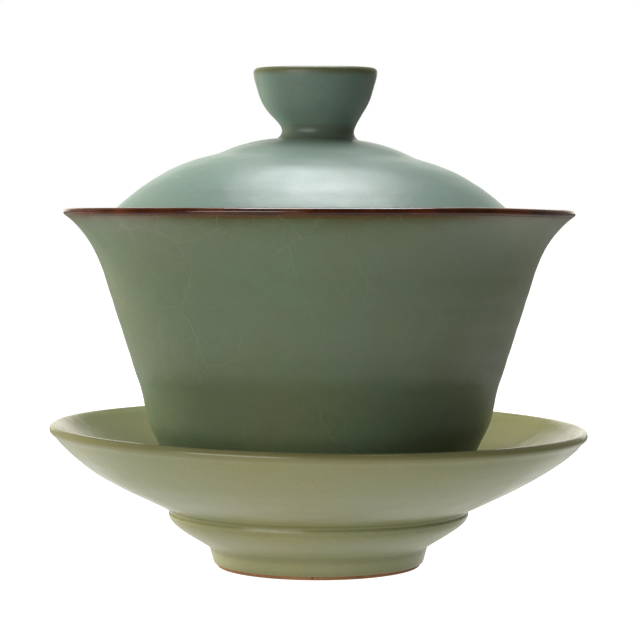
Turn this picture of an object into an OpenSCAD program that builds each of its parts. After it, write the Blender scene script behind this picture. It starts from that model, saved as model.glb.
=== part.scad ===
// Gaiwan: a lidded tea bowl on its saucer.
// Three loose fired pieces: a saucer with a stepped underside, a bowl with a flared
// mouth, and a domed lid with a cup-shaped knob. Every piece is a stoneware body under
// a thin coat of glaze. All outlines give the finished, glazed surface; the clay lies
// one glaze thickness inside it. +Z is up and the saucer's foot stands on z = 0.

/* [Bowl] */
// Outside diameter of the mouth
mouth_d = 100; // [80:1:130]
// Height of the bowl from its foot to its lip
bowl_h = 63; // [52:0.5:80]
// How far the mouth flares out beyond the throat, on each side
flare_w = 7.7; // [5:0.1:12]
// Height of the flare below the lip
flare_h = 12.4; // [9:0.1:18]
// Diameter at the belly line, where the straight side ends
belly_d = 69.9; // [56:0.2:84]
// Height of the belly line above the bowl's foot
belly_h = 27; // [22:0.5:33]
// Height of the soft keel below the belly line
keel_drop = 7.7; // [5:0.1:10]
// How far the keel turns in from the belly line, on each side
keel_in = 2.05; // [1:0.05:4]
// Thickness of the bowl's wall
bowl_wall = 3.2; // [2.4:0.1:4]
// Thickness of the rounded lip
lip_t = 1.5; // [1.3:0.1:2.2]

/* [Bowl foot] */
// Diameter of the bowl's foot ring at its bottom
bowl_foot_d = 43; // [35:0.5:52]
// Height of the bowl's foot ring
bowl_foot_h = 5; // [4:0.1:7]
// Width of the bowl's foot ring, measured across its bottom
bowl_foot_w = 2.6; // [2:0.1:4]
// Depth of the recess inside the bowl's foot ring
bowl_recess = 3.8; // [2:0.1:3.8]
// Thickness of the bowl's floor
bowl_base = 3.8; // [3:0.1:5]

/* [Saucer] */
// Outside diameter of the saucer
saucer_d = 105.8; // [88:0.2:132]
// Height of the saucer from the table to its rim
saucer_h = 27.6; // [24:0.1:33]
// Thickness of the saucer's wall
saucer_wall = 2.8; // [2.2:0.1:3.6]
// Thickness of the saucer's rolled rim
rim_t = 2; // [1.6:0.1:2.6]
// How far the middle tier stands out beyond the well, on each side
tier_w = 6.4; // [5:0.1:9]
// Height of the middle tier's ledge above the table
tier_h = 10.7; // [9:0.1:12.5]
// Depth of the ledge cut in above the middle tier
ledge_w = 0.2; // [0.1:0.1:1.5]

/* [Saucer foot and well] */
// Diameter of the saucer's foot ring at its bottom
saucer_foot_d = 40.6; // [34:0.2:49]
// Height of the saucer's foot ring
saucer_foot_h = 4; // [3:0.1:5]
// Width of the saucer's foot ring, measured across its bottom
saucer_foot_w = 2.5; // [2:0.1:4]
// Depth of the recess inside the saucer's foot ring
saucer_recess = 3.7; // [2:0.1:3.8]
// Thickness of the saucer under the bowl
saucer_floor = 3.8; // [3:0.1:5]
// Depth of the well that the bowl's foot sits in
well_depth = 4; // [3:0.1:4.5]
// Play between the bowl's foot and the wall of the well
well_gap = 1.4; // [0.6:0.1:2.5]

/* [Lid] */
// How far below the bowl's lip the lid's rim sits
seat_drop = 6; // [4:0.1:8]
// Play between the lid's rim and the bowl's wall
lid_gap = 0.3; // [0.2:0.05:0.8]
// Height of the dome from the lid's rim to the knob
dome_h = 19.4; // [15:0.1:24]
// Diameter of the low shoulder around the top of the dome
shoulder_d = 45; // [36:0.5:56]
// Height from the shoulder to the knob
shoulder_rise = 4.3; // [3:0.1:6]
// Thickness of the lid
lid_wall = 3; // [2.4:0.1:3.6]
// Thickness of the lid at its rounded rim
lid_edge_t = 2; // [1.6:0.1:2.4]
// Tilt of the lid in its seat, where it was set down
lid_tilt = 1.4; // [0:0.1:1.8]

/* [Knob] */
// Diameter of the knob at its rim
knob_d = 24.2; // [20:0.2:30]
// Height of the knob above the dome
knob_h = 13.7; // [11:0.1:17]
// Diameter of the knob's neck
neck_d = 14.1; // [12:0.1:17]
// How far the knob's foot spreads beyond its neck, on each side
knob_foot_w = 0.9; // [0.4:0.1:1.5]
// Thickness of the knob's rim
knob_rim_t = 1.6; // [1.2:0.1:2.2]
// Depth of the cup in the top of the knob
cup_depth = 6.5; // [4.5:0.1:7.5]

/* [Glaze] */
// Thickness of the glaze coat
glaze_t = 0.4; // [0.25:0.05:0.5]
// Height of bare clay left above each foot
bare_h = 0.7; // [0.6:0.1:2]

/* [Hidden] */
$fn = 96;

clay_colour = [0.55, 0.40, 0.26];
celadon_colour = [0.47, 0.55, 0.48];
saucer_colour = [0.56, 0.58, 0.46];
lid_colour = [0.60, 0.67, 0.63];
iron_colour = [0.28, 0.13, 0.05];

// An outline is a list of [radius, height] points, walked so that clay lies on its left.

// A cubic curve from p to s in n steps; q and r pull it the way a pen would swing.
function curve(p, q, r, s, n = 8) =
    [for (i = [0:n]) let (t = i / n, u = 1 - t)
        u * u * u * p + 3 * u * u * t * q + 3 * u * t * t * r + t * t * t * s];

// Part of a circle around c, from angle a to angle b in n steps.
function bend(c, radius, a, b, n = 8) =
    [for (i = [0:n]) let (g = a + (b - a) * i / n) c + radius * [cos(g), sin(g)]];

// Several outlines run together, with a point that ends one and starts the next kept once.
function run(parts) =
    let (all_points = [for (part = parts) for (p = part) p])
    [for (i = [0:len(all_points) - 1])
        if (i == 0 || norm(all_points[i] - all_points[i - 1]) > 0.001) all_points[i]];

function back(path) = [for (i = [len(path) - 1:-1:0]) path[i]];
function last(path) = path[len(path) - 1];
function left_of(v) = [-v[1], v[0]] / norm(v);

// The next point along, or at the axis the mirror image of the one before.
function ahead(path, i) =
    i < len(path) - 1 ? path[i + 1]
    : path[i][0] < 0.001 ? [-path[i - 1][0], path[i - 1][1]]
    : 2 * path[i] - path[i - 1];
function behind(path, i) =
    i > 0 ? path[i - 1]
    : path[i][0] < 0.001 ? [-path[1][0], path[1][1]]
    : 2 * path[0] - path[1];

// The outline moved into the clay by d, one depth for all points or one for each.
function inset(path, d) =
    [for (i = [0:len(path) - 1])
        let (a = left_of(path[i] - behind(path, i)), b = left_of(ahead(path, i) - path[i]),
             depth = is_list(d) ? d[i] : d)
        path[i] + (a + b) / (1 + a * b) * depth];

// Depths that grow from a to b over the first n points and then stay.
function growing(path, a, b, n) = [for (i = [0:len(path) - 1]) a + (b - a) * min(1, i / n)];

// Radius of an outline at height z.
function radius_at(path, z) =
    [for (i = [1:len(path) - 1])
        let (p = path[i - 1], q = path[i])
        if ((p[1] - z) * (q[1] - z) <= 0 && p[1] != q[1])
            p[0] + (q[0] - p[0]) * (z - p[1]) / (q[1] - p[1])][0];

// A solid of clay or glaze turned from a closed outline.
module turned(outline) {
    rotate_extrude() polygon(outline);
}

// The glaze coat over an outline, from its point a to its point b.
module coat(path, a = 0, b = undef) {
    end = is_undef(b) ? len(path) - 1 : b;
    clay = inset(path, glaze_t);
    turned(concat([for (i = [a:end]) path[i]], [for (i = [end:-1:a]) clay[i]]));
}

// Foot ring from its inner wall, across the bare bottom, to its outer wall.
function bare_foot(radius, width) = [
    [radius - width, bare_h],
    [radius - width + 0.2, 0.3],
    [radius - width + 0.5, 0],
    [radius - 0.35, 0],
    [radius - 0.1, 0.3]
];

// Recess under a piece, from the axis out and down to the glaze line inside the foot.
function foot_recess(radius, width, depth) = let (r = radius - width - glaze_t) run([
    [[0, depth]],
    bend([r - 1.2, depth - 1.2], 1.2, 90, 0, 4),
    [[r, bare_h]]
]);

// Saucer: heights are above the table.
saucer_foot_r = saucer_foot_d / 2;
well_z = saucer_recess + saucer_floor;
well_r = bowl_foot_d / 2 + glaze_t + well_gap;
tier_r = well_r + tier_w;
rim_r = rim_t / 2;
rim_c = [saucer_d / 2 - rim_r, saucer_h - rim_r];
rim_slope = 25;
dish_start = [tier_r - ledge_w, tier_h + 0.6];
dish_end = rim_c + rim_r * [sin(rim_slope), -cos(rim_slope)];
dish_under = curve(dish_start, dish_start + [7.3, 3.8], dish_end - [6, 6.9], dish_end, 14);
tier = curve(
    [saucer_foot_r + 1.3, saucer_foot_h],
    [well_r + 0.9, saucer_foot_h + 1.8],
    [tier_r - 1, tier_h - 2.7],
    [tier_r - 0.2, tier_h - 0.9], 8);
saucer_under = run([
    [[saucer_foot_r + glaze_t, bare_h], [saucer_foot_r + 1.2, saucer_foot_h - 0.4]],
    tier,
    [[tier_r, tier_h - 0.2], [tier_r - 0.3, tier_h + 0.1]],
    dish_under
]);
dish_top = inset(back(dish_under), -growing(dish_under, rim_t, saucer_wall, 5));
well_edge = [well_r + 0.6, well_z + well_depth - 0.8];
saucer_skin = run([
    saucer_under,
    bend(rim_c, rim_r, rim_slope - 75, rim_slope + 75, 8),
    dish_top,
    curve(last(dish_top), last(dish_top) - [1.4, 0.5], well_edge + [0.4, 0.8], well_edge, 5),
    curve([well_r + 0.1, well_z + 1], [well_r, well_z + 0.3], [well_r - 0.3, well_z],
          [well_r - 1, well_z], 4),
    [[0, well_z]]
]);
saucer_hollow = foot_recess(saucer_foot_r, saucer_foot_w, saucer_recess);

// Bowl: heights are above the bowl's own foot.
bowl_foot_r = bowl_foot_d / 2;
lip_r = lip_t / 2;
lip_c = [mouth_d / 2 - lip_r, bowl_h - lip_r];
lip_slope = 30;
lip_end = lip_c + lip_r * [sin(lip_slope), -cos(lip_slope)];
throat = [mouth_d / 2 - flare_w, bowl_h - flare_h];
belly = [belly_d / 2, belly_h];
keel = belly - [keel_in, keel_drop];
side = (throat - belly) / norm(throat - belly);
bowl_outside = run([
    curve([bowl_foot_r + 1.1, bowl_foot_h + 0.2], [bowl_foot_r + 5.7, bowl_foot_h + 2],
          keel - [2.05, 4.3], keel, 10),
    curve(keel, keel + [1.55, 2.9], belly - 2.1 * side, belly, 6),
    curve(throat, throat + 5.2 * side, lip_end - [2.8, 1.9], lip_end, 10)
]);
bowl_outer_skin = run([
    [[bowl_foot_r + glaze_t, bare_h], [bowl_foot_r + 0.8, bowl_foot_h - 0.5]],
    bowl_outside
]);
bowl_inner_wall = inset(back(bowl_outside), -growing(bowl_outside, lip_t, bowl_wall, 8));
lip = bend(lip_c, lip_r, lip_slope - 75, lip_slope + 75, 8);
bowl_floor = bowl_recess + bowl_base;
bowl_skin = run([
    bowl_outer_skin,
    lip,
    bowl_inner_wall,
    curve(last(bowl_inner_wall), last(bowl_inner_wall) - [4, 0.9], [7, bowl_floor],
          [0, bowl_floor], 5)
]);
lip_from = len(bowl_outer_skin) - 1;
lip_to = lip_from + len(lip) + 1;
bowl_hollow = foot_recess(bowl_foot_r, bowl_foot_w, bowl_recess);

// Lid: heights are above the lid's own rim. The centre of the rim's rounding follows the
// bowl's inner wall, one play and one rounding away from it.
edge_r = lid_edge_t / 2;
seat_z = bowl_h - seat_drop;
seat_path = inset(bowl_inner_wall, glaze_t - edge_r - lid_gap);
edge_c = [radius_at(seat_path, seat_z + edge_r), edge_r];
edge_slope = 40;
dome_start = edge_c + edge_r * [cos(edge_slope), sin(edge_slope)];
shoulder = [shoulder_d / 2, dome_h - shoulder_rise];
swell = shoulder + [-5.2, 1.8];
neck_r = neck_d / 2;
knob_foot_r = neck_r + knob_foot_w;
knob_r = knob_d / 2;
knob_top = dome_h + knob_h;
knob_rim_r = knob_rim_t / 2;
dome = run([
    curve(dome_start, dome_start + [-5.1, 5.6], shoulder + [8.5, -2.5], shoulder, 14),
    curve(shoulder, shoulder + [-1.7, 0.45], swell + [1.4, -0.75], swell, 5),
    curve(swell, swell + [-2.3, 1], [knob_foot_r + 3.6, dome_h - 0.3], [knob_foot_r, dome_h], 6)
]);
knob = run([
    curve([knob_foot_r, dome_h], [neck_r + 0.25, dome_h + 0.5], [neck_r, dome_h + 1],
          [neck_r, dome_h + 1.6], 4),
    curve([neck_r, dome_h + 1.6], [neck_r, dome_h + 3.3], [knob_r - 1.9, dome_h + 5.2],
          [knob_r - 0.9, knob_top - 4.5], 10),
    curve([knob_r - 0.9, knob_top - 4.5], [knob_r - 0.5, knob_top - 3.1],
          [knob_r, knob_top - 1.9], [knob_r, knob_top - knob_rim_r], 4),
    bend([knob_r - knob_rim_r, knob_top - knob_rim_r], knob_rim_r, 0, 180, 10),
    curve([knob_r - knob_rim_t, knob_top - knob_rim_r], [knob_r - 2.2, knob_top - 4.5],
          [knob_r / 2, knob_top - cup_depth], [0, knob_top - cup_depth], 10)
]);
lid_skin = run([dome, knob]);
lid_inside = inset(back(dome), -back(growing(dome, lid_edge_t, lid_wall, 6)));
lid_hollow = run([
    curve([0, dome_h - lid_wall + 0.1], [3, dome_h - lid_wall + 0.1],
          lid_inside[0] + [-2, 0.1], lid_inside[0], 4),
    lid_inside
]);
lid_clay = inset(lid_skin, glaze_t);
crease = len(dome) - 1;
pad = lid_clay[crease];
wall_lean = (radius_at(seat_path, seat_z + 2) - radius_at(seat_path, seat_z)) / 2;
lid_shift = edge_c[0] * sin(lid_tilt) * wall_lean;

module in_well() {
    translate([0, 0, well_z]) children();
}

module in_seat() {
    in_well() translate([-lid_shift, 0, seat_z]) rotate([0, lid_tilt, 0]) children();
}

module saucer_body() {
    color(clay_colour)
        turned(run([
            inset(saucer_hollow, glaze_t),
            bare_foot(saucer_foot_r, saucer_foot_w),
            inset(saucer_skin, glaze_t)
        ]));
}

module saucer_glaze() {
    color(saucer_colour) {
        coat(saucer_hollow);
        coat(saucer_skin);
    }
}

module bowl_body() {
    color(clay_colour) in_well()
        turned(run([
            inset(bowl_hollow, glaze_t),
            bare_foot(bowl_foot_r, bowl_foot_w),
            inset(bowl_skin, glaze_t)
        ]));
}

module bowl_glaze() {
    color(celadon_colour) in_well() {
        coat(bowl_hollow);
        coat(bowl_skin, 0, lip_from);
        coat(bowl_skin, lip_to);
    }
}

module bowl_lip_band() {
    color(iron_colour) in_well() coat(bowl_skin, lip_from, lip_to);
}

module lid_body() {
    color(clay_colour) in_seat()
        turned(run([
            inset(lid_hollow, glaze_t),
            bend(edge_c, edge_r - glaze_t, edge_slope - 170, edge_slope - 10, 8),
            [for (i = [0:crease]) lid_clay[i]],
            [[0, pad[1]]]
        ]));
}

module lid_knob() {
    color(clay_colour) in_seat()
        turned(concat([[0, pad[1]]], [for (i = [crease:len(lid_clay) - 1]) lid_clay[i]]));
}

module lid_glaze() {
    color(lid_colour) in_seat() {
        coat(lid_hollow);
        coat(lid_skin);
    }
}

saucer_body();
saucer_glaze();
bowl_body();
bowl_glaze();
bowl_lip_band();
lid_body();
lid_knob();
lid_glaze();
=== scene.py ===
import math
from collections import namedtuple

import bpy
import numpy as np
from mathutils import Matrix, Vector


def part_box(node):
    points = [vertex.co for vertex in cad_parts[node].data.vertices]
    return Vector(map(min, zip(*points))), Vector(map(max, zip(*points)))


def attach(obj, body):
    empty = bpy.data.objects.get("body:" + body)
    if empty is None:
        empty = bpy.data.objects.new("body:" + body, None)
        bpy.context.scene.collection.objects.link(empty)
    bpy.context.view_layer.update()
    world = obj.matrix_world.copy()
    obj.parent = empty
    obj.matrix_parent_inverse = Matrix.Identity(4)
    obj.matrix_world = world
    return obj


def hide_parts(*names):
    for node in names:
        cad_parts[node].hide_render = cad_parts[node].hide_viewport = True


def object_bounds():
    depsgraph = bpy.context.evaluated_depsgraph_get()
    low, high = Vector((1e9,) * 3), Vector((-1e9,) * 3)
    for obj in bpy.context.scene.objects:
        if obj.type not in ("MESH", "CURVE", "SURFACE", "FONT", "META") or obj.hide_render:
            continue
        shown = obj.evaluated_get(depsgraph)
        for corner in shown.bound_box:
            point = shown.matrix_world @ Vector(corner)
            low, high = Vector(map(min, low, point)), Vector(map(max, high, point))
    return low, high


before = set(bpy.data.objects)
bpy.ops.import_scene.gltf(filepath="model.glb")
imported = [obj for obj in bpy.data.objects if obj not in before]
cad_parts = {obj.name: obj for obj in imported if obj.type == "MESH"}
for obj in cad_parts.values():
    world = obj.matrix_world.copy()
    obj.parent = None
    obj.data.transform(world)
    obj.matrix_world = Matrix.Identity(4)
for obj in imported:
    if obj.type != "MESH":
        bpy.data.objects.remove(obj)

# Gaiwan in crackled celadon. Each clay body, glaze coat and lip band is turned afresh from
# its CAD node's own outline, finely and with soft corners, then given the small unevenness
# of a hand-thrown pot. A glaze coat and the clay under it always share one unevenness.
# Lengths named in millimetres are turned into metres only when a mesh is laid.

CAD_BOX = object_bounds()
MM = 0.001
CUT = 0.05  # millimetres between the cuts that an outline is rounded at
SHARP = math.cos(math.radians(28))  # outline corners that turn by more than this angle stay corners

# ---------------------------------------------------------------- outlines from the CAD nodes

Turn = namedtuple("Turn", "origin axes")  # a turning axis: a point on it, and unit columns x, y, axis
UPRIGHT = Turn(np.zeros(3), np.eye(3))


def mesh_array(items, field, width, kind=np.float32):
    """One field of all of a mesh's vertices, edges or polygons, as an array with that many columns."""
    flat = np.empty(len(items) * width, kind)
    items.foreach_get(field, flat)
    return flat.reshape(-1, width)


def tilted_turn(node):
    """The axis that a tilted node was turned about, with its height counted from the node's lowest ring.

    The mean of the outer product of the surface normals, weighted by area, has the turning
    axis as the eigenvector that stands alone, and the area's centroid lies on the axis.
    """
    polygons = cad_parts[node].data.polygons
    area = mesh_array(polygons, "area", 1).astype(float)
    normal = mesh_array(polygons, "normal", 3).astype(float)
    centroid = (mesh_array(polygons, "center", 3) * area).sum(0) / area.sum() / MM
    spread = np.einsum("ia,ij,ik->jk", area, normal, normal) / area.sum()
    values, vectors = np.linalg.eigh(spread)
    axis = vectors[:, np.argmax(np.abs(vectors[2]))]
    axis = axis * np.sign(axis[2])
    across = np.cross([0, 1, 0], axis)
    across = across / np.linalg.norm(across)
    axes = np.stack([across, np.cross(axis, across), axis], 1)
    heights = (mesh_array(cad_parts[node].data.vertices, "co", 3) / MM - centroid) @ axis
    return Turn(centroid + axis * heights.min(), axes)


def level_numbers(values, apart):
    """Numbers the distinct levels among the values: a new level starts where the sorted values jump."""
    order = np.argsort(values)
    jumps = np.diff(values[order]) > apart
    number = np.empty(len(values), int)
    number[order] = np.concatenate([[0], np.cumsum(jumps)])
    return number


def outlines(node, turn, apart=0.02):
    """The closed cross-sections of a turned node, as arrays of [radius, height] in millimetres.

    Vertices with one radius and one height are a ring, and mesh edges between two rings say
    which rings are neighbours in the outline. A section that meets the axis is closed by its
    own mirror image on the other side of the axis.
    """
    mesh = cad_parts[node].data
    local = (mesh_array(mesh.vertices, "co", 3) / MM - turn.origin) @ turn.axes
    radius, height = np.hypot(local[:, 0], local[:, 1]), local[:, 2]
    levels = np.stack([level_numbers(radius, apart), level_numbers(height, apart)], 1)
    ring = np.unique(levels, axis=0, return_inverse=True)[1].ravel()
    count = np.bincount(ring)
    rings = np.stack([np.bincount(ring, radius), np.bincount(ring, height)], 1) / count[:, None]
    pairs = ring[mesh_array(mesh.edges, "vertices", 2, np.int32)]
    pairs = np.unique(np.sort(pairs[pairs[:, 0] != pairs[:, 1]], axis=1), axis=0)
    beside = {k: set() for k in range(len(rings))}
    for a, b in pairs:
        beside[a].add(b)
        beside[b].add(a)
    found = []
    while beside:
        step = min(beside, key=lambda k: (len(beside[k]), k))
        is_open = len(beside[step]) == 1
        path = []
        while step is not None:
            path.append(step)
            after = [k for k in beside.pop(step) if k in beside]
            step = after[0] if after else None
        section = rings[path]
        if is_open:
            section = np.concatenate([section, section[::-1] * [-1, 1]])
            far = np.abs(np.roll(section, -1, 0) - section).max(1) > apart
            section = section[far]
        found.append(section)
    return found


def rounded(section, blunt, spacing):
    """The section as a smooth line of rings, closed, with more rings where it bends.

    Between two outline points runs a cubic whose end slopes are the mean of the slopes on
    both sides, and at a sharp corner the slope of its own side. The line is cut finely and
    averaged with a bell-shaped weight `blunt` millimetres wide, which rounds the corners.
    Rings are then spaced by `spacing` millimetres, plus eight for every full turn.
    """
    chord = np.roll(section, -1, 0) - section
    length = np.linalg.norm(chord, axis=1)
    ahead = chord / length[:, None]
    behind = np.roll(ahead, 1, 0)
    before = np.roll(length, 1)
    slope = behind * length[:, None] + ahead * before[:, None]
    slope = slope / np.linalg.norm(slope, axis=1)[:, None]
    corner = ((ahead * behind).sum(1) < SHARP)[:, None]
    leaving = np.where(corner, ahead, slope)
    arriving = np.roll(np.where(corner, behind, slope), -1, 0)
    cuts = np.maximum(2, np.ceil(length / CUT)).astype(int)
    k = np.repeat(np.arange(len(section)), cuts)
    t = ((np.arange(cuts.sum()) - np.repeat(np.cumsum(cuts) - cuts, cuts)) / cuts[k])[:, None]
    line = (
        (1 + 2 * t) * (1 - t) ** 2 * section[k]
        + t * (1 - t) ** 2 * leaving[k] * length[k, None]
        + t * t * (3 - 2 * t) * np.roll(section, -1, 0)[k]
        + t * t * (t - 1) * arriving[k] * length[k, None]
    )
    reach = int(math.ceil(3 * blunt / CUT))
    offsets = np.arange(-reach, reach + 1)
    weight = np.exp(-0.5 * (offsets * CUT / blunt) ** 2)
    weight = weight / weight.sum()
    line = sum(w * np.roll(line, -o, 0) for w, o in zip(weight, offsets))
    bend = turning_rate(line)
    step = np.linalg.norm(np.roll(line, -1, 0) - line, axis=1)
    along = np.cumsum(step * (1 / spacing + np.abs(bend) * 8 / math.tau))
    places = (np.arange(int(along[-1])) + 0.5) / int(along[-1]) * along[-1]
    at = np.interp(places, along, np.arange(len(line)))
    wrapped = np.concatenate([line, line[:1]])
    return np.stack([np.interp(at, np.arange(len(wrapped)), wrapped[:, a]) for a in (0, 1)], 1)


def turning_rate(line):
    """How fast a closed line turns, in radians a millimetre, positive where it turns left."""
    ahead = np.roll(line, -1, 0) - line
    behind = line - np.roll(line, 1, 0)
    cross = behind[:, 0] * ahead[:, 1] - behind[:, 1] * ahead[:, 0]
    run = (np.linalg.norm(ahead, axis=1) + np.linalg.norm(behind, axis=1)) / 2
    return np.arctan2(cross, (ahead * behind).sum(1)) / np.maximum(run, 1e-6)


def half_section(line):
    """Of a section that crosses the axis, the side with a positive radius, from axis to axis."""
    if line[:, 0].min() > 0:
        return line, True
    start = np.flatnonzero((line[:, 0] > 0) & (np.roll(line[:, 0], 1) <= 0))[0]
    line = np.roll(line, -start, 0)
    side = line[: np.flatnonzero(line[:, 0] <= 0)[0]]
    ends = [[[0, side[0, 1]]], [[0, side[-1, 1]]]]
    return np.concatenate([ends[0], side[1:-1], ends[1]]), False


# ---------------------------------------------------------------- hand-thrown unevenness


def ease(x, start, end):
    """A smooth step from 0 at start to 1 at end."""
    t = np.clip((x - start) / (end - start), 0, 1)
    return t * t * (3 - 2 * t)


def throwing_rings(angle, along, depth):
    """Shallow spiral grooves left by the potter's fingers: three waves that drift with the angle.

    `along` is the distance that they follow each other in, up a wall or out over a dome.
    """
    spiral = along + angle / math.tau * 0.9
    waves = np.sin(spiral * 1.15 + 0.4) + 0.6 * np.sin(spiral * 2.3 + 1.9) + 0.35 * np.sin(spiral * 0.52)
    return depth * waves


def saucer_warp(radius, angle, height):
    """Sagged in the fire: the rim stands about 0.9 mm high on the left and 0.6 mm low on the right.

    Lift falls with the cosine of the angle, a little on the flank and more at the rim.
    """
    flank, rim = ease(radius, 27, 33), ease(radius, 43, 52.5)
    lift = 0.15 * rim - (0.25 * flank + 0.55 * rim) * np.cos(angle) + 0.06 * rim * np.cos(3 * angle + 1)
    swell = 0.06 * np.cos(2 * angle + 2.2) * rim + throwing_rings(angle, radius, 0.02) * flank
    return swell, np.full_like(radius, -0.2), lift


def bowl_warp(radius, angle, height):
    """The mouth is a little out of round and droops on the right; the wall keeps faint throwing rings."""
    up = ease(height, 20, 66)
    swell = 0.09 * np.cos(2 * angle + 0.4) + 0.05 * np.cos(3 * angle + 1.7)
    rings = throwing_rings(angle, height, 0.022) * ease(height, 18, 24) * ease(-height, -66, -60)
    droop = -0.42 * ease(np.cos(angle), 0.55, 1) * ease(height, 60, 69)
    return swell * up + rings, np.zeros_like(radius), droop


def lid_warp(radius, angle, height):
    """The knob stands a little to the left, its rim dips at front and back, and the dome is uneven."""
    lean = -0.7 * ease(height, 20.6, 25) - 0.1 * ease(height, 25, 33)
    dome = ease(radius, 6, 21) * ease(-radius, -38, -24) * ease(-height, -19.5, -18)
    uneven = (0.13 - 0.07 * np.cos(angle)) * dome
    knob = (0.1 + 0.025 * radius * np.cos(angle) + 0.1 * np.cos(2 * angle)) * ease(height, 23, 31)
    rings = throwing_rings(angle, radius, 0.018) * ease(radius, 12, 17) * ease(-radius, -40, -36)
    return 0.05 * np.cos(2 * angle) * ease(radius, 3, 12), lean, uneven + knob + rings


# ---------------------------------------------------------------- turned pieces


def lay_mesh(name, points, loops, sizes):
    """A mesh from points, the corner numbers of all faces in a row, and each face's corner count."""
    mesh = bpy.data.meshes.new(name)
    mesh.vertices.add(len(points))
    mesh.vertices.foreach_set("co", points.astype(np.float32).ravel())
    mesh.loops.add(len(loops))
    mesh.loops.foreach_set("vertex_index", loops.astype(np.int32))
    mesh.polygons.add(len(sizes))
    mesh.polygons.foreach_set("loop_start", (np.cumsum(sizes) - sizes).astype(np.int32))
    mesh.update(calc_edges=True)
    mesh.validate()
    mesh.shade_smooth()
    return mesh


def revolve(line, is_ring, around, turn, warp):
    """Points, faces and ring numbers of one section carried round its axis.

    Point (i, j) stands at angle 2 pi j / around on ring i: radius r_i plus the warp's swell,
    height h_i plus its lift, all shifted by its lean across. On the axis a ring is one point.
    """
    if turned_inward(line):
        line = line[::-1]
    angle = np.arange(around) / around * math.tau
    rows = np.arange(len(line)) if is_ring else np.arange(1, len(line) - 1)
    radius, side = np.meshgrid(line[rows, 0], angle, indexing="ij")
    height = np.repeat(line[rows, 1][:, None], around, 1)
    swell, lean, lift = warp(radius, side, height)
    reach = radius + swell
    local = np.stack([reach * np.cos(side) + lean, reach * np.sin(side), height + lift], -1).reshape(-1, 3)
    n = len(rows)
    i, j = np.meshgrid(np.arange(n if is_ring else n - 1), np.arange(around), indexing="ij")
    up, along = (i + 1) % n, (j + 1) % around
    quads = np.stack([i * around + j, i * around + along, up * around + along, up * around + j], -1)
    quads = quads.reshape(-1, 4)
    loops, sizes = quads.ravel(), np.full(len(quads), 4)
    ring_of = np.repeat(rows, around)
    if not is_ring:
        poles = np.array([local[:around].mean(0), local[-around:].mean(0)])
        poles[:, 2] += line[[0, -1], 1] - line[[1, -2], 1]
        a = np.arange(around)
        b = (a + 1) % around
        first, last = len(local), len(local) + 1
        low = np.stack([np.full(around, first), b, a], 1)
        top = (n - 1) * around
        high = np.stack([np.full(around, last), top + a, top + b], 1)
        loops = np.concatenate([loops, low.ravel(), high.ravel()])
        sizes = np.concatenate([sizes, np.full(2 * around, 3)])
        local = np.concatenate([local, poles])
        ring_of = np.concatenate([ring_of, [0, len(line) - 1]])
    world = (local @ turn.axes.T + turn.origin) * MM
    return world, loops, sizes, ring_of, line


def turned_inward(line):
    """Whether faces laid along the line, turned anticlockwise, would look into the wall."""
    r, h = line[:, 0], line[:, 1]
    area = (r * np.roll(h, -1) - np.roll(r, -1) * h).sum() / 2
    return area < 0


def thin_and_pool(line, is_ring):
    """For each ring, how thin glaze runs there and how deep it pools, from 0 to 1.

    Glaze runs off edges that turn outwards and gathers in hollows, over about a millimetre.
    """
    bend = turning_rate(line)
    if not is_ring:
        bend[[0, 1, -2, -1]] = 0
    run = np.concatenate([[0], np.cumsum(np.linalg.norm(np.diff(line, axis=0), axis=1))])
    weight = np.exp(-0.5 * ((run[:, None] - run[None, :]) / 0.55) ** 2)
    size = np.gradient(run)
    mean = (weight * (bend * size)[None, :]).sum(1) / (weight * size[None, :]).sum(1)
    return np.clip(mean * 1.3, 0, 1), np.clip(-mean * 1.6, 0, 1)


def turned_piece(name, node, turn, warp, blunt=0.12, spacing=0.9, around=240, thin_at=None):
    """The piece that stands for a CAD node, with the float attributes `thin` and `pool` on its points."""
    points, loops, sizes, thin, pool = [], [], [], [], []
    start = 0
    for section in outlines(node, turn):
        line, is_ring = half_section(rounded(section, blunt, spacing))
        world, corners, counts, ring_of, line = revolve(line, is_ring, around, turn, warp)
        runs_thin, runs_deep = thin_and_pool(line, is_ring)
        if thin_at is not None:
            runs_thin = np.maximum(runs_thin, thin_at(line[:, 0], line[:, 1]))
        points.append(world)
        loops.append(corners + start)
        sizes.append(counts)
        thin.append(runs_thin[ring_of])
        pool.append(runs_deep[ring_of])
        start += len(world)
    mesh = lay_mesh(name, np.concatenate(points), np.concatenate(loops), np.concatenate(sizes))
    for label, values in (("thin", thin), ("pool", pool)):
        attribute = mesh.attributes.new(label, "FLOAT", "POINT")
        attribute.data.foreach_set("value", np.concatenate(values).astype(np.float32))
    piece = bpy.data.objects.new(name, mesh)
    bpy.context.scene.collection.objects.link(piece)
    return piece


# ---------------------------------------------------------------- shader building


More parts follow.
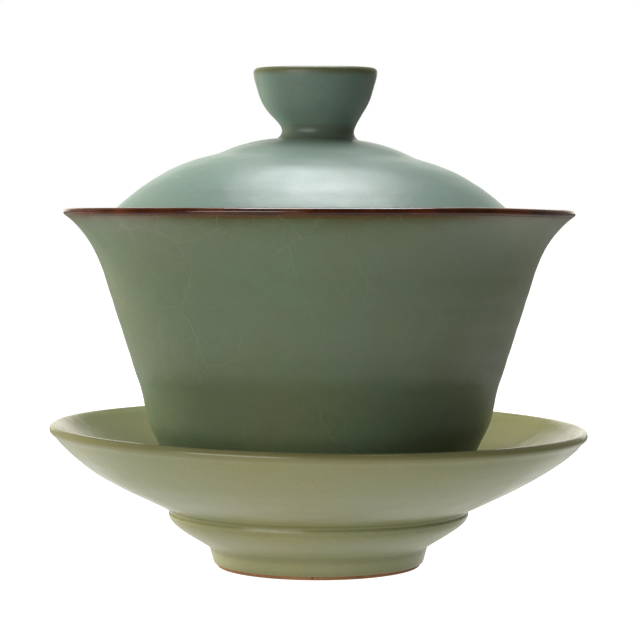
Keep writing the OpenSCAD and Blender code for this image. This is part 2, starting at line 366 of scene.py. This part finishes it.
class Board:
    """A node tree that nodes are added to, with their inputs given by name or number."""

    def __init__(self, tree):
        self.tree = tree
        self.column = 0

    def add(self, kind, inputs=None, **settings):
        node = self.tree.nodes.new(kind)
        node.location = (self.column * 180, -(self.column % 4) * 160)
        self.column += 1
        for key, value in settings.items():
            setattr(node, key, value)
        for key, value in (inputs or {}).items():
            if isinstance(value, bpy.types.NodeSocket):
                self.tree.links.new(value, node.inputs[key])
            else:
                node.inputs[key].default_value = value
        return node

    def math(self, operation, a, b=0.0, clamp=False):
        return self.add("ShaderNodeMath", {0: a, 1: b}, operation=operation, use_clamp=clamp).outputs[0]

    def step(self, value, low, high, to_low=0.0, to_high=1.0):
        node = self.add(
            "ShaderNodeMapRange",
            {"Value": value, "From Min": low, "From Max": high, "To Min": to_low, "To Max": to_high},
            interpolation_type="SMOOTHSTEP",
        )
        return node.outputs["Result"]

    def mix(self, factor, a, b):
        return self.add("ShaderNodeMix", {0: factor, 6: a, 7: b}, data_type="RGBA").outputs[2]

    def blend(self, factor, a, b):
        return self.add("ShaderNodeMix", {0: factor, 2: a, 3: b}).outputs[0]

    def vector(self, operation, inputs):
        return self.add("ShaderNodeVectorMath", inputs, operation=operation).outputs[0]

    def noise(self, vector, scale, detail=2.0, rough=0.5, output="Fac"):
        inputs = {"Vector": vector, "Scale": scale, "Detail": detail, "Roughness": rough}
        return self.add("ShaderNodeTexNoise", inputs).outputs[output]

    def attribute(self, name):
        return self.add("ShaderNodeAttribute", attribute_name=name).outputs["Fac"]

    def link(self, value, socket):
        self.tree.links.new(value, socket)


def node_group(name, inputs, outputs):
    """A new shader node group. Inputs are (name, kind, value), outputs are (name, kind)."""
    tree = bpy.data.node_groups.new(name, "ShaderNodeTree")
    for label, kind, value in inputs:
        socket = tree.interface.new_socket(name=label, in_out="INPUT", socket_type="NodeSocket" + kind)
        socket.default_value = value
    for label, kind in outputs:
        tree.interface.new_socket(name=label, in_out="OUTPUT", socket_type="NodeSocket" + kind)
    board = Board(tree)
    return board, board.add("NodeGroupInput").outputs, board.add("NodeGroupOutput")


def place(board, tree, values):
    """Puts a node group in a material with its own values."""
    return board.add("ShaderNodeGroup", values, node_tree=tree).outputs


def colour(red, green, blue):
    """A colour given as it looks on a screen, from 0 to 255, as the linear values that shaders use."""
    screen = np.array([red, green, blue]) / 255
    linear = np.where(screen <= 0.04045, screen / 12.92, ((screen + 0.055) / 1.055) ** 2.4)
    return (*linear.tolist(), 1.0)


def make_glaze_tone():
    """Celadon colour: clouds and small mottles over the body tone, thin on edges and deep in hollows."""
    board, given, result = node_group(
        "glaze tone",
        [("Vector", "Vector", (0, 0, 0)), ("Body", "Color", (1, 1, 1, 1)), ("Cloud", "Color", (1, 1, 1, 1)),
         ("Mottle", "Color", (1, 1, 1, 1)), ("Thin", "Color", (1, 1, 1, 1)), ("Deep", "Color", (1, 1, 1, 1)),
         ("Thin Amount", "Float", 1.0)],
        [("Color", "Color")],
    )
    where = given["Vector"]
    cloud = board.noise(where, 34, 2, 0.5)
    mottle = board.noise(where, 260, 3, 0.6)
    grain = board.noise(where, 2200, 2, 0.6)
    tone = board.mix(board.step(cloud, 0.3, 0.7), given["Body"], given["Cloud"])
    tone = board.mix(board.step(mottle, 0.3, 0.8, 0, 0.6), tone, given["Mottle"])
    shade = board.step(grain, 0.3, 0.7, 0.96, 1.04)
    grained = board.vector("SCALE", {0: tone, 3: shade})
    pooled = board.mix(board.step(board.attribute("pool"), 0.05, 0.8, 0, 0.7), grained, given["Deep"])
    thin = board.math("ADD", board.attribute("thin"), board.step(mottle, 0.3, 0.7, -0.08, 0.08))
    edge = board.math("MULTIPLY", board.step(thin, 0.12, 0.95), given["Thin Amount"])
    board.link(board.mix(edge, pooled, given["Thin"]), result.inputs["Color"])
    return board.tree


def make_crackle():
    """A net of hair-fine cracks: the edges of bent flat cells wrapped round the pot, fading in and out.

    Across, a cell lies along the angle round the axis times `girth`, and up, along the height plus
    `Lean` times the radius, so that it follows walls, dishes and (with a negative Lean) domes.
    """
    board, given, result = node_group(
        "crackle",
        [("Vector", "Vector", (0, 0, 0)), ("Cells", "Float", 150.0), ("Width", "Float", 0.02),
         ("Spread", "Float", 0.5), ("Lean", "Float", 0.8)],
        [("Line", "Float")],
    )
    girth, squash, waver = 0.036, 0.62, 0.004
    x, y, z = board.add("ShaderNodeSeparateXYZ", {0: given["Vector"]}).outputs
    reach = board.math("SQRT", board.math("ADD", board.math("MULTIPLY", x, x), board.math("MULTIPLY", y, y)))
    turn = board.math("MULTIPLY", board.math("ARCTAN2", x, board.math("MULTIPLY", y, -1.0)), girth)
    rise = board.math("ADD", z, board.math("MULTIPLY", reach, given["Lean"]))
    skin = board.add("ShaderNodeCombineXYZ", {0: turn, 1: board.math("MULTIPLY", rise, squash)}).outputs[0]
    warp = board.noise(given["Vector"], 120, 2, 0.5, "Color")
    push = board.vector("SCALE", {0: board.vector("SUBTRACT", {0: warp, 1: (0.5, 0.5, 0.5)}), 3: waver})
    bent = board.vector("ADD", {0: skin, 1: push})
    cells = board.add(
        "ShaderNodeTexVoronoi", {"Vector": bent, "Scale": given["Cells"]}, feature="DISTANCE_TO_EDGE",
        voronoi_dimensions="2D",
    ).outputs["Distance"]
    line = board.add(
        "ShaderNodeMapRange",
        {"Value": cells, "From Min": 0.0, "From Max": given["Width"], "To Min": 1.0, "To Max": 0.0},
    ).outputs["Result"]
    fade = board.noise(given["Vector"], 55, 3, 0.6)
    low = board.math("SUBTRACT", 0.95, given["Spread"])
    seen = board.step(board.math("SUBTRACT", fade, low), 0.0, 0.18)
    off_axis = board.math("MULTIPLY", seen, board.step(reach, 0.004, 0.01))
    board.link(board.math("MULTIPLY", line, off_axis, True), result.inputs["Line"])
    return board.tree


def make_specks():
    """Scattered round dots: the centres of some cells, chosen by each cell's own random number."""
    board, given, result = node_group(
        "specks",
        [("Vector", "Vector", (0, 0, 0)), ("Cells", "Float", 300.0), ("Size", "Float", 0.1),
         ("Share", "Float", 0.1)],
        [("Dot", "Float")],
    )
    spread = {"Vector": given["Vector"], "Scale": given["Cells"]}
    cells = board.add("ShaderNodeTexVoronoi", spread, feature="F1")
    near = board.math("LESS_THAN", cells.outputs["Distance"], given["Size"])
    pick = board.add("ShaderNodeSeparateColor", {"Color": cells.outputs["Color"]}).outputs[0]
    chosen = board.math("LESS_THAN", pick, given["Share"])
    board.link(board.math("MULTIPLY", near, chosen), result.inputs["Dot"])
    return board.tree


def make_orange_peel():
    """The dimpled skin of a satin glaze: two sizes of soft lumps, as a height."""
    board, given, result = node_group(
        "orange peel",
        [("Vector", "Vector", (0, 0, 0)), ("Lumps", "Float", 260.0), ("Grain", "Float", 1400.0)],
        [("Height", "Float")],
    )
    lumps = board.noise(given["Vector"], given["Lumps"], 2, 0.5)
    grain = board.noise(given["Vector"], given["Grain"], 2, 0.6)
    height = board.math("ADD", lumps, board.math("MULTIPLY", grain, 0.12))
    board.link(height, result.inputs["Height"])
    return board.tree


TONE = make_glaze_tone()
CRACKLE = make_crackle()
SPECKS = make_specks()
PEEL = make_orange_peel()


def new_material(name):
    """A material with one Principled shader: the material, its board, the shader and Object coordinates."""
    material = bpy.data.materials.new(name)
    material.use_nodes = True
    material.node_tree.nodes.clear()
    board = Board(material.node_tree)
    output = board.add("ShaderNodeOutputMaterial")
    shader = board.add("ShaderNodeBsdfPrincipled")
    board.link(shader.outputs[0], output.inputs["Surface"])
    where = board.add("ShaderNodeTexCoord").outputs["Object"]
    return material, board, shader, where


def celadon(name, tones, thin_amount=1.0, crackle=0.5, roughness=0.3, lean=0.8):
    """Satin celadon glaze: mottled tone, hair cracks, pinholes and a few iron specks, softly dimpled."""
    material, board, shader, where = new_material(name)
    tone = place(board, TONE, {"Vector": where, "Thin Amount": thin_amount, **tones})["Color"]
    net = {"Vector": where, "Spread": crackle, "Lean": lean}
    fine = place(board, CRACKLE, {**net, "Cells": 230.0, "Width": 0.02})["Line"]
    wide = place(board, CRACKLE, {**net, "Cells": 95.0, "Width": 0.01})["Line"]
    lines = board.math("MAXIMUM", board.math("MULTIPLY", fine, 0.6), wide)
    holes = place(board, SPECKS, {"Vector": where, "Cells": 360.0, "Size": 0.08, "Share": 0.03})["Dot"]
    iron = place(board, SPECKS, {"Vector": where, "Cells": 110.0, "Size": 0.04, "Share": 0.03})["Dot"]
    cracked = board.mix(board.math("MULTIPLY", lines, 0.3), tone, colour(166, 170, 146))
    pitted = board.mix(board.math("MULTIPLY", holes, 0.2), cracked, colour(60, 58, 42))
    spotted = board.mix(board.math("MULTIPLY", iron, 0.85), pitted, colour(38, 26, 16))
    board.link(spotted, shader.inputs["Base Color"])
    peel = place(board, PEEL, {"Vector": where})["Height"]
    dents = board.math("SUBTRACT", peel, board.math("MULTIPLY", board.math("MAXIMUM", lines, holes), 0.3))
    bump = board.add("ShaderNodeBump", {"Strength": 0.18, "Distance": 0.0005, "Height": dents})
    board.link(bump.outputs[0], shader.inputs["Normal"])
    gloss = board.step(board.noise(where, 90, 3), 0.3, 0.7, roughness - 0.04, roughness + 0.05)
    board.link(gloss, shader.inputs["Roughness"])
    shader.inputs["IOR"].default_value = 1.5
    return material


def iron_lip(name):
    """Iron-brown lip: nearly black where it is thick, rusty where it thins, and glossy all round."""
    material, board, shader, where = new_material(name)
    patch = board.noise(where, 130, 3, 0.5)
    dark, rust = colour(62, 27, 12), colour(96, 46, 18)
    board.link(board.mix(board.step(patch, 0.34, 0.68), dark, rust), shader.inputs["Base Color"])
    lumps = board.noise(where, 500, 2, 0.5)
    bump = board.add("ShaderNodeBump", {"Strength": 0.15, "Distance": 0.0003, "Height": lumps})
    board.link(bump.outputs[0], shader.inputs["Normal"])
    board.link(board.step(patch, 0.3, 0.7, 0.14, 0.24), shader.inputs["Roughness"])
    return material


def bare_clay(name):
    """Unglazed stoneware: sandy, toasted orange-brown, with darker iron grains and turning marks."""
    material, board, shader, where = new_material(name)
    toast = board.noise(where, 70, 3, 0.6)
    sand = board.noise(where, 1800, 3, 0.75)
    turned = board.add("ShaderNodeMapping", {"Vector": where, "Scale": (0.05, 0.05, 1)}).outputs[0]
    marks = board.noise(turned, 2600, 2, 0.5)
    base = board.mix(board.step(toast, 0.35, 0.65), colour(150, 104, 66), colour(118, 74, 42))
    sandy = board.mix(board.step(sand, 0.45, 0.75, 0, 0.5), base, colour(182, 142, 98))
    iron = place(board, SPECKS, {"Vector": where, "Cells": 700.0, "Size": 0.2, "Share": 0.12})["Dot"]
    speckled = board.mix(board.math("MULTIPLY", iron, 0.8), sandy, colour(46, 28, 18))
    board.link(speckled, shader.inputs["Base Color"])
    height = board.math("ADD", sand, board.math("MULTIPLY", marks, 0.8))
    bump = board.add("ShaderNodeBump", {"Strength": 0.6, "Distance": 0.0004, "Height": height})
    board.link(bump.outputs[0], shader.inputs["Normal"])
    board.link(board.step(sand, 0.3, 0.7, 0.72, 0.9), shader.inputs["Roughness"])
    return material


# ---------------------------------------------------------------- the gaiwan

LID_TURN = tilted_turn("lid_body")
LIP_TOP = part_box("bowl_lip_band")[1].z / MM


def thin_below_lip(radius, height):
    """Glaze runs thin just under the lip and thickens within a few millimetres."""
    return 0.9 * np.exp(-np.maximum(LIP_TOP - 1.2 - height, 0) / 1.6)


# The three glaze tones are partly painted light. The bowl's darker tone is partly painted shade, the lid's
# lighter, bluer tone is partly painted cool light from above, and the saucer's yellower tone is partly
# painted warm light from below. The rest is each glaze's own colour.
bowl_celadon = celadon("bowl celadon", {
    "Body": colour(111, 122, 92), "Cloud": colour(106, 125, 99), "Mottle": colour(108, 116, 92),
    "Thin": colour(98, 74, 36), "Deep": colour(76, 90, 68)}, 0.95, 0.5, 0.32)
saucer_celadon = celadon("saucer celadon", {
    "Body": colour(144, 143, 98), "Cloud": colour(138, 145, 107), "Mottle": colour(144, 140, 96),
    "Thin": colour(118, 108, 62), "Deep": colour(120, 120, 78)}, 0.4, 0.42, 0.22)
lid_celadon = celadon("lid celadon", {
    "Body": colour(124, 143, 131), "Cloud": colour(120, 144, 134), "Mottle": colour(125, 140, 130),
    "Thin": colour(104, 106, 66), "Deep": colour(84, 94, 76)}, 0.85, 0.42, 0.38, -0.8)
iron_brown = iron_lip("iron-brown lip")
clay = bare_clay("bare clay")

# name, node, body, turn, warp, material, slot, and what differs from the usual turning
PIECES = [
    ("saucer_clay", "saucer_body", "saucer", UPRIGHT, saucer_warp, clay, "clay", {"blunt": 0.1}),
    ("saucer_coat", "saucer_glaze", "saucer", UPRIGHT, saucer_warp, saucer_celadon, "saucer_glaze",
     {"blunt": 0.16}),
    ("bowl_clay", "bowl_body", "bowl", UPRIGHT, bowl_warp, clay, "clay", {"blunt": 0.1}),
    ("bowl_coat", "bowl_glaze", "bowl", UPRIGHT, bowl_warp, bowl_celadon, "bowl_glaze",
     {"blunt": 0.05, "around": 224, "thin_at": thin_below_lip}),
    ("lip_band", "bowl_lip_band", "bowl", UPRIGHT, bowl_warp, iron_brown, "iron_band", {"blunt": 0.05}),
    ("lid_clay", "lid_body", "lid", LID_TURN, lid_warp, clay, "clay", {"blunt": 0.1}),
    ("knob_clay", "lid_knob", "lid", LID_TURN, lid_warp, clay, "clay", {"blunt": 0.1}),
    ("lid_coat", "lid_glaze", "lid", LID_TURN, lid_warp, lid_celadon, "lid_glaze", {"blunt": 0.14}),
]

for name, node, body, turn, warp, material, slot, extras in PIECES:
    piece = turned_piece(name, node, turn, warp, **extras)
    piece.data.materials.append(material)
    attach(piece, body)
    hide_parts(node)

# ---------------------------------------------------------------- stage, lights and camera


def plain_floor():
    """A wide pale floor at the height of the saucer's foot, with a pool of soft light under the gaiwan.

    As light its glow falls with distance from the gaiwan; to the camera it is evenly pale.
    """
    half = 6.0
    corners = np.array([[-half, -half, 0], [half, -half, 0], [half, half, 0], [-half, half, 0]])
    corners[:, 2] = CAD_BOX[0][2]
    mesh = lay_mesh("floor", corners, np.arange(4), np.array([4]))
    floor = bpy.data.objects.new("floor", mesh)
    bpy.context.scene.collection.objects.link(floor)
    material, board, shader, where = new_material("floor white")
    away = board.add("ShaderNodeVectorMath", {0: where}, operation="LENGTH").outputs["Value"]
    pool = board.step(away, 0.07, 0.2, 0.62, 0.02)
    seen = board.add("ShaderNodeLightPath").outputs["Is Camera Ray"]
    board.link(board.blend(seen, pool, 1.1), shader.inputs["Emission Strength"])
    shader.inputs["Emission Color"].default_value = (1, 0.99, 0.96, 1)
    shader.inputs["Base Color"].default_value = (0.2, 0.2, 0.19, 1)
    shader.inputs["Roughness"].default_value = 0.9
    floor.data.materials.append(material)


def backdrop():
    """White to the camera; as light it is bright behind the gaiwan and nearly dark in front of it."""
    world = bpy.data.worlds.new("studio")
    bpy.context.scene.world = world
    world.use_nodes = True
    world.node_tree.nodes.clear()
    board = Board(world.node_tree)
    output = board.add("ShaderNodeOutputWorld")
    direction = board.add("ShaderNodeTexCoord").outputs["Generated"]
    back = board.add("ShaderNodeSeparateXYZ", {0: direction}).outputs["Y"]
    wide = board.step(back, 0.05, 0.8, 0.05, 0.27)
    narrow = board.step(back, 0.84, 0.97, 0, 1.4)
    strength = board.math("ADD", wide, narrow)
    seen = board.add("ShaderNodeLightPath").outputs["Is Camera Ray"]
    level = board.blend(seen, strength, 1.0)
    tint = board.mix(seen, (1, 0.97, 0.86, 1), (1, 1, 1, 1))
    light = board.add("ShaderNodeBackground", {"Color": tint, "Strength": level})
    board.link(light.outputs[0], output.inputs["Surface"])


def soft_light(name, spot, aim, size, power, tint, mirrored=True):
    """A rectangular softbox at a spot, looking at a point; one not mirrored leaves no highlight."""
    data = bpy.data.lights.new(name, "AREA")
    data.shape = "RECTANGLE"
    data.size, data.size_y = size
    data.energy = power
    data.color = tint
    lamp = bpy.data.objects.new(name, data)
    lamp.location = spot
    lamp.rotation_euler = (Vector(aim) - Vector(spot)).to_track_quat("-Z", "Y").to_euler()
    lamp.visible_glossy = mirrored
    bpy.context.scene.collection.objects.link(lamp)


def camera():
    """A long lens at the height of the bowl's mouth, looking slightly down."""
    data = bpy.data.cameras.new("camera")
    data.sensor_width = 36
    data.lens = 125.7
    eye = bpy.data.objects.new("camera", data)
    eye.location = (0.0001, -0.44, 0.0701)
    eye.rotation_euler = (math.radians(90 - 2.823), 0, 0)
    bpy.context.scene.collection.objects.link(eye)
    bpy.context.scene.camera = eye


plain_floor()
backdrop()
soft_light("overhead softbox", (0.02, 0.2, 0.76), (0.01, 0, 0.08), (0.44, 0.4), 6.4, (0.93, 0.98, 1.0))
soft_light("left front fill", (-0.58, -0.85, 0.15), (0, 0, 0.04), (0.8, 0.6), 6.7, (1.0, 0.99, 0.93))
soft_light("right back warm", (0.62, 0.42, 0.25), (0.0, 0, 0.04), (0.35, 0.35), 0.8, (1.0, 0.93, 0.78), False)
soft_light("left back warm", (-0.62, 0.42, 0.2), (0.0, 0, 0.04), (0.35, 0.35), 8.0, (1.0, 0.96, 0.84), False)
camera()
bpy.context.scene.view_settings.view_transform = "Standard"
